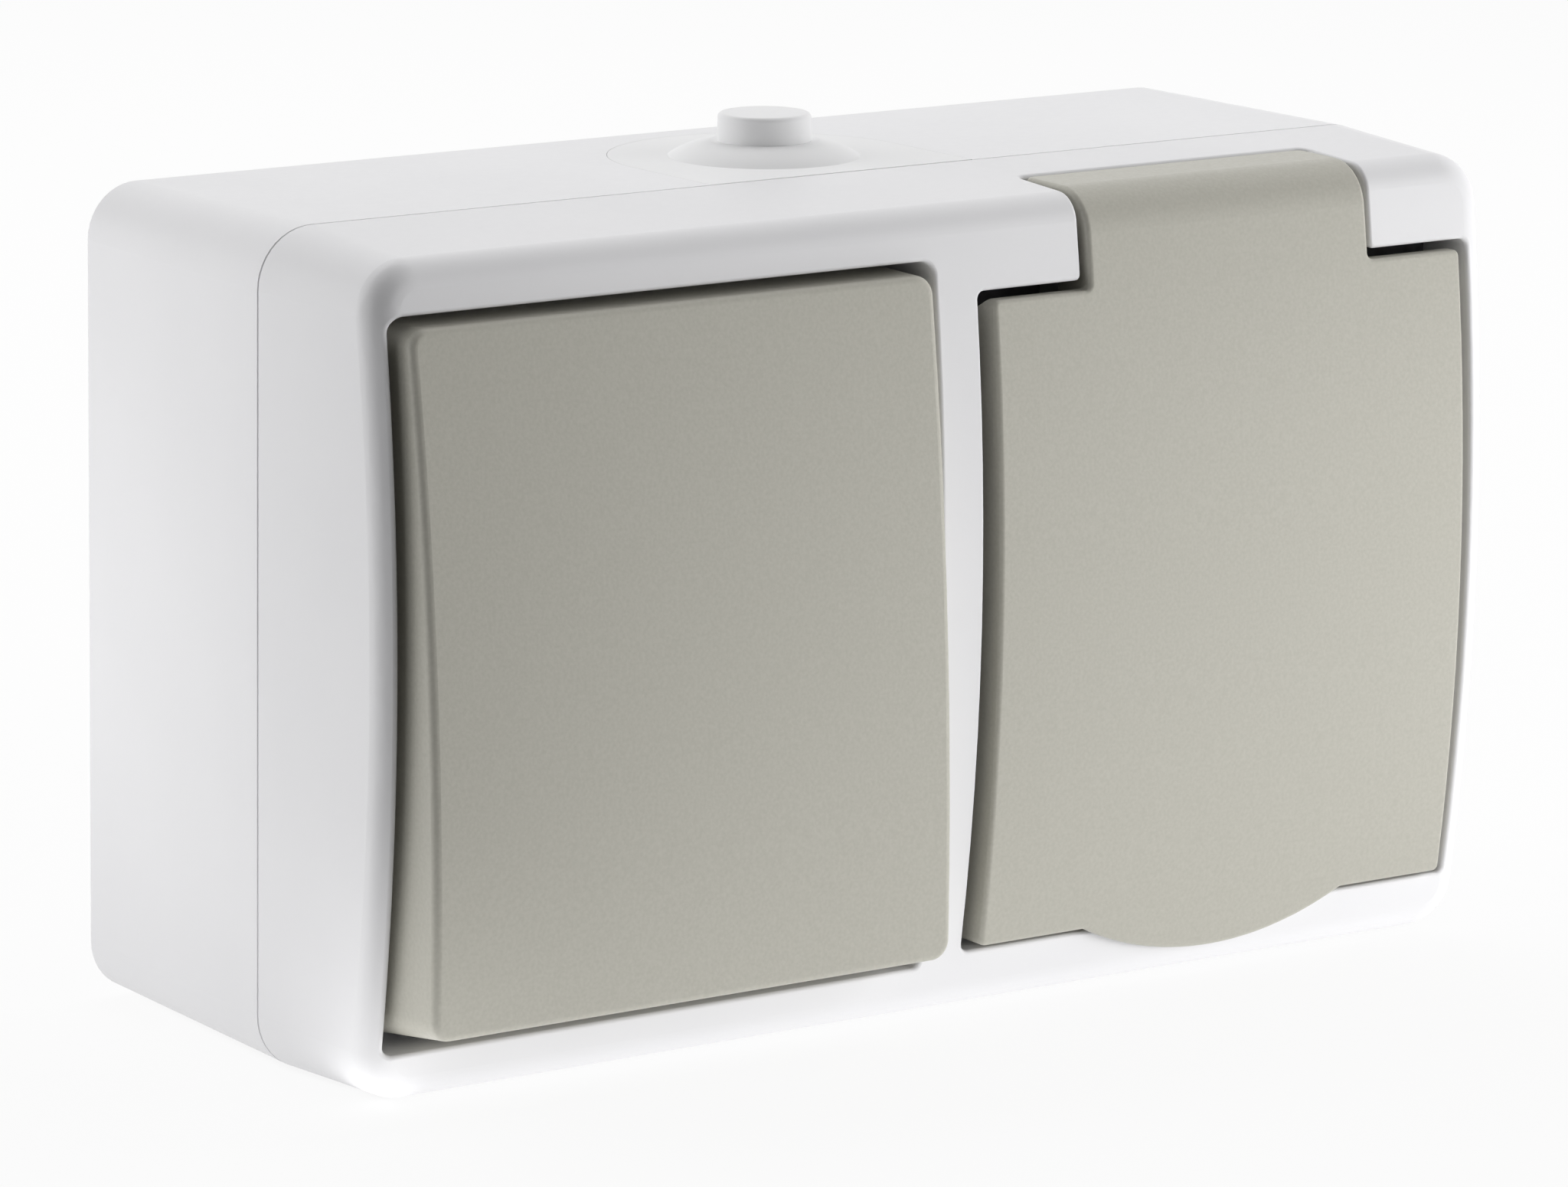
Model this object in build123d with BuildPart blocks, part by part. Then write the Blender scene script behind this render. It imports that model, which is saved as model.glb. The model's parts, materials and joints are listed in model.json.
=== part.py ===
from build123d import *
import os
from math import asin, atan, cos, degrees, radians, sin, sqrt

# Surface-mounted switch and socket combination, in millimetres.
# Origin at the centre of the back face, +X to the right, +Y into the wall, +Z up.
# A depth is counted from the wall towards the front, so depth d lies at Y = -d.

# Housing
housing_width = 140.0
housing_height = 85.5
corner_radius = 6.1
seam_depth = 33.9
box_inset = 0.5  # how far each side of the box draws in from the seam to the wall
box_wall = 2.2
box_floor = 2.5

# Front cover
front_depth = 56.4  # at the top of the crown
crown_radius = 254.0
crown_z = 1.0
cover_inset = 1.1  # how far each side of the cover draws in from the seam to the front
cover_wall = 2.2
floor_plate = 1.8  # floors of the two recesses
front_rounding = 3.2
seam_chamfer = 0.25
side_border = 1.7  # beside the rocker
end_border = 6.0  # above and below the rocker
socket_side_border = 2.7  # beside the lid
socket_end_border = 7.0  # below the lid
bar_width = 5.25
bar_x = -0.2
window_corner = 1.6  # upper corners of the rocker window
window_foot_corner = 0.9
recess_corner = 0.9
window_rounding = 0.4
rocker_well = 14.4  # depth of the switch recess below the crown
lid_well = 9.4  # depth of the lid recess below the crown
seal_width = 1.6
seal_height = 1.2
seal_overlap = 1.1  # how much of the box rim the seal covers

# Posts, wall holes and screws
post_radius = 3.75
post_inset_x = 9.0
post_inset_z = 16.75
post_step = 1.4  # the posts end this far behind the seam
wall_hole_radius = 2.25
wall_hole_spacing = 28.0
screw_radius = 1.5
screw_clearance = 0.15
screw_head_radius = 3.0
screw_head_height = 2.0
screw_slot = 0.9
screw_slot_depth = 1.0
screw_rim = 0.75  # solid rim of a head outside its cross slot
cover_screw_length = 28.0
fixing_screw_length = 7.0
terminal_screw_length = 6.0
terminal_gap = 0.8  # round the heads of the socket's terminal screws

# Cable entry grommet
entry_depth = 19.7
entry_radius = 16.4
entry_ledge = 1.4  # how far the plate overlaps the wall round the slot
entry_plate = 1.0
entry_flange = 1.5
entry_gap = 0.05
entry_seam_gap = 0.15
entry_overcut = 1.0  # the slot's cuts run this far past the wall and the seam
dome_radius = 10.05
dome_height = 1.6
dome_shoulder = 0.9  # flat ring between the dome and the nipple
nipple_radius = 4.9
nipple_height = 2.9
nipple_skin = 1.2
nipple_rounding = 0.5

# Rocker
rocker_tilt = 4.2
rocker_gap = 0.4  # beside the foot of the skirt
rocker_end_gap = 1.05  # above and below it
rocker_draw = 0.8  # how far each side draws in from the foot to the face
rocker_skirt = 11.1
rocker_crown_radius = 390.0
rocker_wall = 2.0
rocker_face = 2.2
rocker_rounding = 0.8
rocker_corner = 2.8
foot_lead = 1.0  # the foot of the skirt lies this far in front of the pivot
pivot_drop = 10.4  # depth of the pivot below the crown
lug_radius = 4.0
lug_thickness = 3.0
lug_spread = 13.2
trunnion_radius = 2.0
pivot_clearance = 0.05
ear_gap = 0.4
plunger_boss_radius = 4.0
plunger_boss_reach = 8.0
plunger_radius = 2.0
plunger_reach = 13.1
plunger_length = 9.0
plunger_rounding = 1.6
plunger_bore_depth = 14.0
spring_wire = 0.35
spring_turns = 5

# Switch base and contacts
base_width = 40.0
base_height = 42.0
base_fit = 0.5
base_rise = 1.0  # the base stands this far short of the recess floor's front
ear_thickness = 3.2
ear_radius = 4.2
pocket_width = 32.0
pocket_height = 34.0
pocket_floor_thickness = 10.0
shelf_length = 10.0
lug_length = 7.0
lug_height = 9.0
lug_plate = 3.0
fixing_post_radius = 4.0
strip_thickness = 1.0
strip_width = 6.0
strip_gap = 0.1
strip_spread = 11.0
lever_tilt = 5.6
lever_length = 28.0
lever_width = 10.0
lever_corner = 1.0
lever_gap = 0.4
lever_pin_radius = 1.2
lever_pin_reach = 7.4
plunger_track = 1.0  # clear track on the lever beside the plunger
lever_drop = 10.0  # from the lever's pivot down to the pocket floor
cheek_thickness = 1.2
cheek_inset = 6.0
rivet_radius = 1.8
rivet_height = 1.2
contact_reach = 12.0  # from the lever's pivot to its rivets
contact_gap = 0.3
arm_width = 5.0
switch_gasket_width = 2.0
gasket_thickness = 1.5

# Socket
socket_z = -2.5
well_radius = 19.6
well_depth = 17.5
well_wall = 2.3
well_floor = 2.5
flange_radius = 25.5
flange_thickness = 3.0
flange_rounding = 0.8
pin_spacing = 19.0
pin_hole_radius = 2.75
guide_width = 5.0
guide_height = 2.6
insert_fit = 0.3
insert_gasket_margin = 0.4
insert_gasket_thickness = 0.8
clip_width = 8.0
clip_slot_fit = 0.5
clip_slot_start = 0.6
clip_floor_gap = 0.6  # between the clips and the floor of the lid recess
clip_reach = 2.6
clip_thickness = 1.0
clip_stand_off = 0.4
clip_fold = 1.25  # wall of the bent part, measured across
clip_end_lead = 1.0
clip_end_inset = 0.5
socket_base_width = 40.0
socket_base_height = 38.0
socket_base_thickness = 21.0
contact_pocket_width = 9.0
contact_pocket_height = 26.0
contact_pocket_depth = 16.0
sleeve_radius = 2.55
sleeve_wall = 0.8
sleeve_slit = 1.0
sleeve_end_gap = 0.5
centre_screw_length = 11.0
centre_head_sink = 1.5

# Lid and hinge
lid_proud = 0.9
lid_crown_z = -1.0
lid_side_gap = 1.5
lid_end_gap = 0.62
lid_shoulder_gap = 0.95
lid_foot_gap = 2.5
lid_wall = 2.2
lid_corner = 0.7
lid_rounding = 0.5
shoulder_corner = 0.7  # inner corners between the shoulders and the hinge tab
lip_width = 34.0
lip_drop = 4.1
lip_corner = 0.5
lip_gap = 0.35  # between the lip and the frame behind it
block_drop = 9.55  # from the top of the housing to the underside of the hinge blocks
block_corner = 0.6
tab_width = 36.3
tab_gap = 0.7
tab_top_drop = 0.5
tab_rounding = 5.0
tab_root = 8.0  # how far the tab reaches down into the plate of the lid
tab_foot = 0.7  # how far the plate runs on under the tab, past the rounding of its shoulders
tail_radius = 7.75
tail_corner = 0.9
trough_gap = 0.35
trough_corner = 1.2
trough_wall = 1.6
swing_gap = 0.2  # in addition to the rounding of the blocks
barrel_radius = 3.6
barrel_width = 8.5
pin_radius = 1.25
pin_seat = 4.0
lid_spring_wire = 0.4
lid_spring_coil = 2.1
lid_spring_turns = 7
lid_spring_gap = 0.6
seat_ring_radius = 25.3
seat_ring_width = 3.2
lid_gasket_width = 2.4
lid_gasket_thickness = 1.4
lid_gasket_gap = 0.3

# Places that follow from the sizes above
bar_left = bar_x - bar_width / 2
bar_right = bar_x + bar_width / 2
window_width = housing_width / 2 - cover_inset - side_border + bar_left
window_height = housing_height - 2 * end_border
recess_width = housing_width / 2 - cover_inset - socket_side_border - bar_right
recess_bottom = socket_end_border - housing_height / 2
switch_x = bar_left - window_width / 2
socket_x = bar_right + recess_width / 2
switch_floor = front_depth - rocker_well
socket_floor = front_depth - lid_well
cavity_width = housing_width - 2 * cover_wall
cavity_height = housing_height - 2 * cover_wall
post_x = housing_width / 2 - post_inset_x
post_z = housing_height / 2 - post_inset_z
post_top = seam_depth - post_step
post_places = [(x, z) for x in (-post_x, post_x) for z in (-post_z, post_z)]
switch_post_places = [(-post_x, -post_z), (-post_x, post_z)]
socket_post_places = [(post_x, -post_z), (post_x, post_z)]
screw_hole = screw_radius + screw_clearance
wall_hole_places = [(x, side * wall_hole_spacing / 2) for x in (-post_x, post_x) for side in (-1, 1)]

pivot_depth = front_depth - pivot_drop
lever_depth = pivot_depth - plunger_reach - lever_gap - strip_thickness / 2
pocket_floor = lever_depth - lever_drop
base_rear = pocket_floor - pocket_floor_thickness
base_front = switch_floor - base_rise
shelf_end = -base_height / 2 - shelf_length
lug_screw_x = base_width / 2 + lug_length / 2
lug_places = [(-lug_screw_x, 0), (lug_screw_x, 0)]
terminal_z = -base_height / 2 - shelf_length / 2

flange_front = socket_floor + insert_gasket_thickness + flange_thickness
well_bottom = flange_front - well_depth
insert_rear = well_bottom - well_floor
tube_radius = well_radius + well_wall
socket_base_rear = insert_rear - socket_base_thickness
contact_floor = insert_rear - contact_pocket_depth
socket_lug_x = socket_base_width / 2 + lug_length / 2
socket_lug_places = [(-socket_lug_x, 0), (socket_lug_x, 0)]
pin_places = [(-pin_spacing / 2, 0), (pin_spacing / 2, 0)]
clip_back = tube_radius + clip_stand_off
clip_front = socket_floor - floor_plate - clip_floor_gap
leg_outer = clip_back + clip_thickness
socket_terminal_z = -leg_outer - screw_head_radius - terminal_gap
socket_shelf_end = socket_terminal_z - screw_head_radius - terminal_gap

block_z = housing_height / 2 - block_drop
lid_front = front_depth + lid_proud
lid_foot = socket_floor + lid_foot_gap
lid_width = recess_width - 2 * lid_side_gap
lid_top = block_z - lid_shoulder_gap
lid_bottom = recess_bottom + lid_end_gap
tab_top = housing_height / 2 - tab_top_drop
pin_z = tab_top - tab_rounding
pin_rise = pin_z - lid_crown_z
pin_depth = lid_front - crown_radius + sqrt((crown_radius - tab_rounding) ** 2 - pin_rise**2)
trough_radius = tail_radius + trough_gap
notch_width = tab_width + 2 * tab_gap
gasket_rear = flange_front + lid_gasket_gap
seat_ring_depth = gasket_rear + lid_gasket_thickness


def at_depth(depth, x=0.0, z=0.0):
    """Plane that faces the front at this depth, centred on x and z."""
    return Plane(origin=(x, -depth, z), x_dir=(1, 0, 0), z_dir=(0, -1, 0))


def side_on(x, depth=0.0, z=0.0):
    """Plane that faces +X, with its own x along Y and its own y along Z."""
    return Plane(origin=(x, -depth, z), x_dir=(0, 1, 0), z_dir=(1, 0, 0))


def tipped(x, depth, angle):
    """Plane that faces the front, turned about the X direction by this angle."""
    turn = radians(angle)
    return Plane(origin=(x, -depth, 0), x_dir=(1, 0, 0), z_dir=(0, -cos(turn), -sin(turn)))


def tipped_side(x, depth, angle):
    """Plane that faces +X, with its own x to the rear and its own y up, turned by this angle."""
    turn = radians(angle)
    return Plane(origin=(x, -depth, 0), x_dir=(0, cos(turn), sin(turn)), z_dir=(1, 0, 0))


def crown_front(z):
    """Depth of the cover's front at this height."""
    return front_depth - crown_radius + sqrt(crown_radius**2 - (z - crown_z) ** 2)


def rim_edges(edges):
    """Those of a recess's edges that lie on the front of the cover."""
    behind = -crown_front(window_height / 2) + front_rounding
    return [edge for edge in edges if edge.center().Y < behind]


def pan_screws(places, length, head_radius=screw_head_radius):
    """Screws driven towards the wall; a place is the seat of a head as depth, x and z."""
    with BuildPart() as group:
        for depth, x, z in places:
            with BuildSketch(at_depth(depth, x, z)):
                Circle(screw_radius)
            extrude(amount=-length)
            with BuildSketch(at_depth(depth, x, z)):
                Circle(head_radius)
            extrude(amount=screw_head_height)
            with BuildSketch(at_depth(depth + screw_head_height, x, z)):
                Rectangle(2 * (head_radius - screw_rim), screw_slot)
                Rectangle(screw_slot, 2 * (head_radius - screw_rim))
            extrude(amount=-screw_slot_depth, mode=Mode.SUBTRACT)
    return group.part


def u_slot(plane, radius, front):
    """U-shaped outline, round at the wall side and cut straight at the front edge."""
    with BuildSketch(plane) as outline:
        Circle(radius)
        with Locations((0, -front / 2)):
            Rectangle(2 * radius, front)
        with Locations((0, -front - radius)):
            Rectangle(2 * radius, 2 * radius, mode=Mode.SUBTRACT)
    return outline.sketch


# Plane of the drafted top wall at the cable entry
entry_z = housing_height / 2 - box_inset * (seam_depth - entry_depth) / seam_depth
top_slope = atan(box_inset / seam_depth)
entry_plane = Plane(
    origin=(0, -entry_depth, entry_z), x_dir=(1, 0, 0), z_dir=(0, sin(top_slope), cos(top_slope))
)
entry_front = (seam_depth - entry_depth) / cos(top_slope)
slot_radius = entry_radius - entry_ledge

# Back box: drafted shell, posts, wall holes and the U-shaped cable entry
with BuildPart() as back_box:
    with BuildSketch(at_depth(seam_depth)):
        RectangleRounded(housing_width, housing_height, corner_radius)
    extrude(amount=-seam_depth, taper=degrees(top_slope))
    with BuildSketch(at_depth(box_floor)):
        RectangleRounded(
            housing_width - 2 * box_wall - 2 * box_inset,
            housing_height - 2 * box_wall - 2 * box_inset,
            corner_radius - box_wall,
        )
    extrude(amount=seam_depth - box_floor, mode=Mode.SUBTRACT)
    with BuildSketch(at_depth(box_floor)):
        with Locations(*post_places):
            Circle(post_radius)
    extrude(amount=post_top - box_floor)
    with BuildSketch(at_depth(post_top)):
        with Locations(*post_places):
            Circle(screw_radius)
    extrude(amount=-(post_top - box_floor), mode=Mode.SUBTRACT)
    with BuildSketch(at_depth(box_floor, switch_x)):
        with Locations(*lug_places):
            Circle(fixing_post_radius)
    extrude(amount=base_rear - box_floor)
    with BuildSketch(at_depth(base_rear, switch_x)):
        with Locations(*lug_places):
            Circle(screw_radius)
    extrude(amount=-(base_rear - box_floor), mode=Mode.SUBTRACT)
    with BuildSketch(at_depth(box_floor, socket_x, socket_z)):
        with Locations(*socket_lug_places):
            Circle(fixing_post_radius)
    extrude(amount=socket_base_rear - box_floor)
    with BuildSketch(at_depth(socket_base_rear, socket_x, socket_z)):
        with Locations(*socket_lug_places):
            Circle(screw_radius)
    extrude(amount=-(socket_base_rear - box_floor), mode=Mode.SUBTRACT)
    with BuildSketch(at_depth(0)):
        with Locations(*wall_hole_places):
            Circle(wall_hole_radius)
    extrude(amount=box_floor, mode=Mode.SUBTRACT)
    slot_outline = u_slot(entry_plane, slot_radius, entry_front + entry_overcut)
    extrude(slot_outline, amount=-2 * box_wall, mode=Mode.SUBTRACT)
    ledge_outline = u_slot(entry_plane, entry_radius, entry_front + entry_overcut)
    extrude(ledge_outline, amount=-entry_plate, mode=Mode.SUBTRACT)
    extrude(ledge_outline, amount=entry_overcut, mode=Mode.SUBTRACT)
back_box.part.label = "back_box"

# Cable grommet: plate, neck and inner flange, with a dome and a closed nipple
neck_end = box_wall + box_inset
grommet_front = entry_front - entry_seam_gap
with BuildPart() as entry_grommet:
    extrude(u_slot(entry_plane, entry_radius - entry_gap, grommet_front), amount=-entry_plate)
    extrude(u_slot(entry_plane, slot_radius - entry_gap, grommet_front), amount=-neck_end)
    extrude(
        u_slot(entry_plane.offset(-neck_end), entry_radius - entry_gap, grommet_front),
        amount=-entry_flange,
    )
    dome_section = Plane(origin=entry_plane.origin, x_dir=(1, 0, 0), z_dir=-entry_plane.y_dir)
    with BuildSketch(dome_section):
        with BuildLine():
            shoulder = nipple_radius + dome_shoulder
            Polyline((dome_radius, 0), (0, 0), (0, dome_height), (shoulder, dome_height))
            RadiusArc((shoulder, dome_height), (dome_radius, 0), dome_radius)
        make_face()
    revolve(axis=Axis(entry_plane.origin, entry_plane.z_dir))
    with BuildSketch(entry_plane):
        Circle(nipple_radius)
    extrude(amount=dome_height + nipple_height)
    fillet(entry_grommet.faces().sort_by(Axis.Z)[-1].edges(), radius=nipple_rounding)
    with BuildSketch(entry_plane.offset(-neck_end - entry_flange)):
        Circle(nipple_radius - nipple_skin)
    extrude(
        amount=neck_end + entry_flange + dome_height + nipple_height - nipple_skin, mode=Mode.SUBTRACT
    )
entry_grommet.part.label = "entry_grommet"

# Blank of the cover: drafted sides, crowned front and one rounding all round
with BuildPart() as cover_blank:
    with BuildSketch(at_depth(seam_depth)):
        RectangleRounded(housing_width, housing_height, corner_radius)
    cover_rise = front_depth - seam_depth
    extrude(amount=cover_rise, taper=degrees(atan(cover_inset / cover_rise)))
    with Locations((0, crown_radius - front_depth, crown_z)):
        Cylinder(crown_radius, 2 * housing_width, rotation=(0, 90, 0), mode=Mode.INTERSECT)
    fillet(cover_blank.faces().sort_by(Axis.Y)[0].edges(), radius=front_rounding)
    chamfer(cover_blank.faces().sort_by(Axis.Y)[-1].edges(), length=seam_chamfer)

# Housing of the hinge trough, kept inside the blank
with BuildPart() as trough_housing:
    with BuildSketch(side_on(socket_x, pin_depth, pin_z)):
        Circle(trough_radius + trough_wall)
    extrude(amount=notch_width / 2 + trough_wall, both=True)
    add(cover_blank.part, mode=Mode.INTERSECT)

# Room of the lid: a recess up to the hinge blocks and a trough with rounded ends between them
recess_height = block_z - recess_bottom
with BuildPart() as hinge_trough:
    with BuildSketch(side_on(socket_x, pin_depth, pin_z)):
        Circle(trough_radius)
        with Locations((-lid_well / 2, 0)):
            Rectangle(lid_well, 2 * trough_radius)
    extrude(amount=notch_width / 2, both=True)
    fillet(hinge_trough.edges().filter_by(GeomType.CIRCLE), radius=trough_corner)
with BuildPart() as lid_room:
    with BuildSketch(at_depth(socket_floor, socket_x)):
        with Locations((0, (block_z + recess_bottom) / 2)):
            RectangleRounded(recess_width, recess_height, recess_corner)
    extrude(amount=lid_well)
    add(hinge_trough.part)
    block_edges = [
        edge
        for edge in lid_room.edges().filter_by(Axis.Y)
        if abs(edge.center().Z - block_z) < block_corner and abs(edge.center().X - socket_x) < notch_width
    ]
    fillet(block_edges, radius=block_corner)

# Front cover: hollow behind, with a rocker window, a lid recess and the hinge trough
right_cavity_left = bar_left + floor_plate
right_cavity_width = cavity_width / 2 - right_cavity_left
with BuildPart() as front_cover:
    add(cover_blank.part)
    with BuildSketch(at_depth(seam_depth)):
        RectangleRounded(cavity_width, cavity_height, corner_radius - cover_wall)
    extrude(amount=switch_floor - floor_plate - seam_depth, mode=Mode.SUBTRACT)
    with BuildSketch(at_depth(seam_depth, right_cavity_left + right_cavity_width / 2)):
        RectangleRounded(right_cavity_width, cavity_height, corner_radius - cover_wall)
    extrude(amount=socket_floor - floor_plate - seam_depth, mode=Mode.SUBTRACT)
    with BuildSketch(at_depth(seam_depth)):
        RectangleRounded(
            housing_width - 2 * (box_wall - seal_overlap),
            housing_height - 2 * (box_wall - seal_overlap),
            corner_radius - box_wall + seal_overlap,
        )
    extrude(amount=seal_height, mode=Mode.SUBTRACT)
    with BuildSketch(at_depth(post_top)):
        with Locations(*switch_post_places):
            Circle(post_radius)
    extrude(amount=switch_floor - post_top)
    with BuildSketch(at_depth(post_top)):
        with Locations(*socket_post_places):
            Circle(post_radius)
    extrude(amount=socket_floor - post_top)
    add(trough_housing.part)
    with BuildSketch(at_depth(switch_floor, switch_x)) as window_outline:
        Rectangle(window_width, window_height)
        fillet(window_outline.vertices().group_by(Axis.Y)[0], radius=window_foot_corner)
        fillet(window_outline.vertices().group_by(Axis.Y)[-1], radius=window_corner)
    extrude(amount=rocker_well, mode=Mode.SUBTRACT)
    fillet(rim_edges(front_cover.edges(Select.LAST)), radius=window_rounding)
    add(lid_room.part, mode=Mode.SUBTRACT)
    fillet(rim_edges(front_cover.edges(Select.LAST)), radius=window_rounding)
    with BuildSketch(side_on(socket_x, pin_depth, pin_z)):
        Circle(pin_radius + pivot_clearance)
    extrude(amount=notch_width / 2 + pin_seat, both=True, mode=Mode.SUBTRACT)
    with BuildSketch(at_depth(switch_floor, switch_x)):
        Rectangle(base_width + 2 * base_fit, base_height + 2 * base_fit)
    extrude(amount=-floor_plate, mode=Mode.SUBTRACT)
    with BuildSketch(at_depth(socket_floor, socket_x, socket_z)):
        Circle(tube_radius + insert_fit)
    extrude(amount=-floor_plate, mode=Mode.SUBTRACT)
    with BuildSketch(at_depth(socket_floor)):
        with Locations(*post_places):
            Circle(screw_hole)
    extrude(amount=post_top - socket_floor, mode=Mode.SUBTRACT)
front_cover.part.label = "front_cover"

# Seal in a rebate of the cover, pressed on the rim of the box
with BuildPart() as box_seal:
    seal_side = 2 * (box_wall - seal_overlap)
    with BuildSketch(at_depth(seam_depth)):
        seal_corner = corner_radius - box_wall + seal_overlap
        RectangleRounded(housing_width - seal_side, housing_height - seal_side, seal_corner)
        seal_hole = seal_side + 2 * seal_width
        RectangleRounded(
            housing_width - seal_hole,
            housing_height - seal_hole,
            seal_corner - seal_width,
            mode=Mode.SUBTRACT,
        )
    extrude(amount=seal_height)
box_seal.part.label = "box_seal"

cover_screw_places = [(switch_floor, x, z) for x, z in switch_post_places]
cover_screw_places += [(socket_floor, x, z) for x, z in socket_post_places]
cover_screws = pan_screws(cover_screw_places, cover_screw_length)
cover_screws.label = "cover_screws"

# Rocker: drafted shell with a crowned face, lugs with trunnions and a boss for the plunger
rocker_plane = tipped(switch_x, pivot_depth, -rocker_tilt)
rocker_side = tipped_side(switch_x, pivot_depth, -rocker_tilt)
rocker_foot_width = window_width - 2 * rocker_gap
rocker_foot_height = window_height - 2 * rocker_end_gap
face_ends = foot_lead + rocker_skirt
face_half = rocker_foot_height / 2 - rocker_draw
face_middle = face_ends + rocker_crown_radius - sqrt(rocker_crown_radius**2 - face_half**2)
rocker_draft = degrees(atan(rocker_draw / rocker_skirt))
rocker_ceiling = face_ends - rocker_face
crown_centre = rocker_plane.from_local_coords((0, 0, face_middle - rocker_crown_radius))
with BuildPart() as switch_rocker:
    with BuildSketch(rocker_plane.offset(foot_lead)):
        RectangleRounded(rocker_foot_width, rocker_foot_height, rocker_corner)
    extrude(amount=face_middle - foot_lead, taper=rocker_draft)
    with Locations(crown_centre):
        Cylinder(rocker_crown_radius, 2 * housing_width, rotation=(0, 90, 0), mode=Mode.INTERSECT)
    fillet(switch_rocker.faces().sort_by(Axis.Y)[0].edges(), radius=rocker_rounding)
    with BuildSketch(rocker_plane.offset(foot_lead)):
        RectangleRounded(
            rocker_foot_width - 2 * rocker_wall, rocker_foot_height - 2 * rocker_wall, rocker_corner
        )
    extrude(amount=rocker_ceiling - foot_lead, taper=rocker_draft, mode=Mode.SUBTRACT)
    for side in (-1, 1):
        lug_plane = rocker_side.offset(side * lug_spread)
        with BuildSketch(lug_plane):
            Circle(lug_radius)
            with Locations((-rocker_ceiling / 2, 0)):
                Rectangle(rocker_ceiling, 2 * lug_radius)
        extrude(amount=side * lug_thickness)
        with BuildSketch(lug_plane):
            Circle(trunnion_radius)
        extrude(amount=side * (lug_thickness + ear_gap + ear_thickness))
    with BuildSketch(rocker_plane.offset(-plunger_boss_reach)):
        Circle(plunger_boss_radius)
    extrude(amount=plunger_boss_reach + rocker_ceiling)
    with BuildSketch(rocker_plane.offset(-plunger_boss_reach)):
        Circle(plunger_radius + pivot_clearance)
    extrude(amount=plunger_bore_depth, mode=Mode.SUBTRACT)
switch_rocker.part.label = "switch_rocker"

# Sprung plunger that tips the lever
with BuildPart() as rocker_plunger:
    with BuildSketch(rocker_plane.offset(-plunger_reach)):
        Circle(plunger_radius)
    extrude(amount=plunger_length)
    fillet(rocker_plunger.faces().sort_by(Axis.Y)[-1].edges(), radius=plunger_rounding)
rocker_plunger.part.label = "rocker_plunger"

spring_start = plunger_length - plunger_reach + spring_wire
spring_end = plunger_bore_depth - plunger_boss_reach - spring_wire
spring_coil = plunger_radius - spring_wire
spring_plane = rocker_plane.offset(spring_start)
with BuildPart() as rocker_spring:
    with BuildLine():
        spring_line = Helix(
            (spring_end - spring_start) / spring_turns,
            spring_end - spring_start,
            spring_coil,
            center=spring_plane.origin,
            direction=spring_plane.z_dir,
        )
    with BuildSketch(Plane(origin=spring_line @ 0, z_dir=spring_line % 0)):
        Circle(spring_wire)
    sweep(is_frenet=True)
rocker_spring.part.label = "rocker_spring"

# Switch base: block with an open pocket, ears for the trunnions, a terminal shelf and fixing lugs
strip_places = [(-strip_spread, 0), (0, 0), (strip_spread, 0)]
ear_inner = lug_spread + lug_thickness + ear_gap
with BuildPart() as switch_base:
    with BuildSketch(at_depth(base_rear, switch_x)):
        Rectangle(base_width, base_height)
    extrude(amount=base_front - base_rear)
    with BuildSketch(at_depth(base_rear, switch_x)):
        with Locations((0, terminal_z)):
            Rectangle(base_width, shelf_length)
    extrude(amount=pocket_floor - base_rear)
    with BuildSketch(at_depth(base_rear, switch_x)):
        with Locations(*lug_places):
            Rectangle(lug_length, lug_height)
    extrude(amount=lug_plate)
    with BuildSketch(at_depth(base_rear, switch_x)):
        with Locations(*lug_places):
            Circle(screw_hole)
    extrude(amount=lug_plate, mode=Mode.SUBTRACT)
    with BuildSketch(at_depth(pocket_floor, switch_x)):
        Rectangle(pocket_width, pocket_height)
    extrude(amount=base_front - pocket_floor, mode=Mode.SUBTRACT)
    with BuildSketch(at_depth(pocket_floor, switch_x, -base_height / 2)):
        with Locations(*strip_places):
            Rectangle(strip_width + 2 * strip_gap, base_height - pocket_height)
    extrude(amount=strip_thickness + strip_gap, mode=Mode.SUBTRACT)
    with BuildSketch(at_depth(pocket_floor, switch_x, terminal_z)):
        with Locations(*strip_places):
            Circle(screw_hole)
    extrude(amount=-terminal_screw_length, mode=Mode.SUBTRACT)
    for side in (-1, 1):
        with BuildSketch(side_on(switch_x + side * ear_inner, pivot_depth)):
            Circle(ear_radius)
            with Locations(((pivot_depth - base_front) / 2, 0)):
                Rectangle(pivot_depth - base_front, 2 * ear_radius)
            Circle(trunnion_radius + pivot_clearance, mode=Mode.SUBTRACT)
        extrude(amount=side * ear_thickness)
switch_base.part.label = "switch_base"

# Rubber frame round the base, behind the floor of the switch recess
with BuildPart() as switch_gasket:
    with BuildSketch(at_depth(switch_floor - floor_plate, switch_x)):
        Rectangle(base_width + 2 * switch_gasket_width, base_height + 2 * switch_gasket_width)
        Rectangle(base_width + 2 * strip_gap, base_height + 2 * strip_gap, mode=Mode.SUBTRACT)
    extrude(amount=-gasket_thickness)
switch_gasket.part.label = "switch_gasket"

switch_fixing_screws = pan_screws(
    [(base_rear + lug_plate, switch_x + x, z) for x, z in lug_places], fixing_screw_length
)
switch_fixing_screws.label = "switch_fixing_screws"
switch_terminal_screws = pan_screws(
    [(pocket_floor + strip_thickness, switch_x + x, terminal_z) for x, z in strip_places],
    terminal_screw_length,
)
switch_terminal_screws.label = "switch_terminal_screws"

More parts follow.
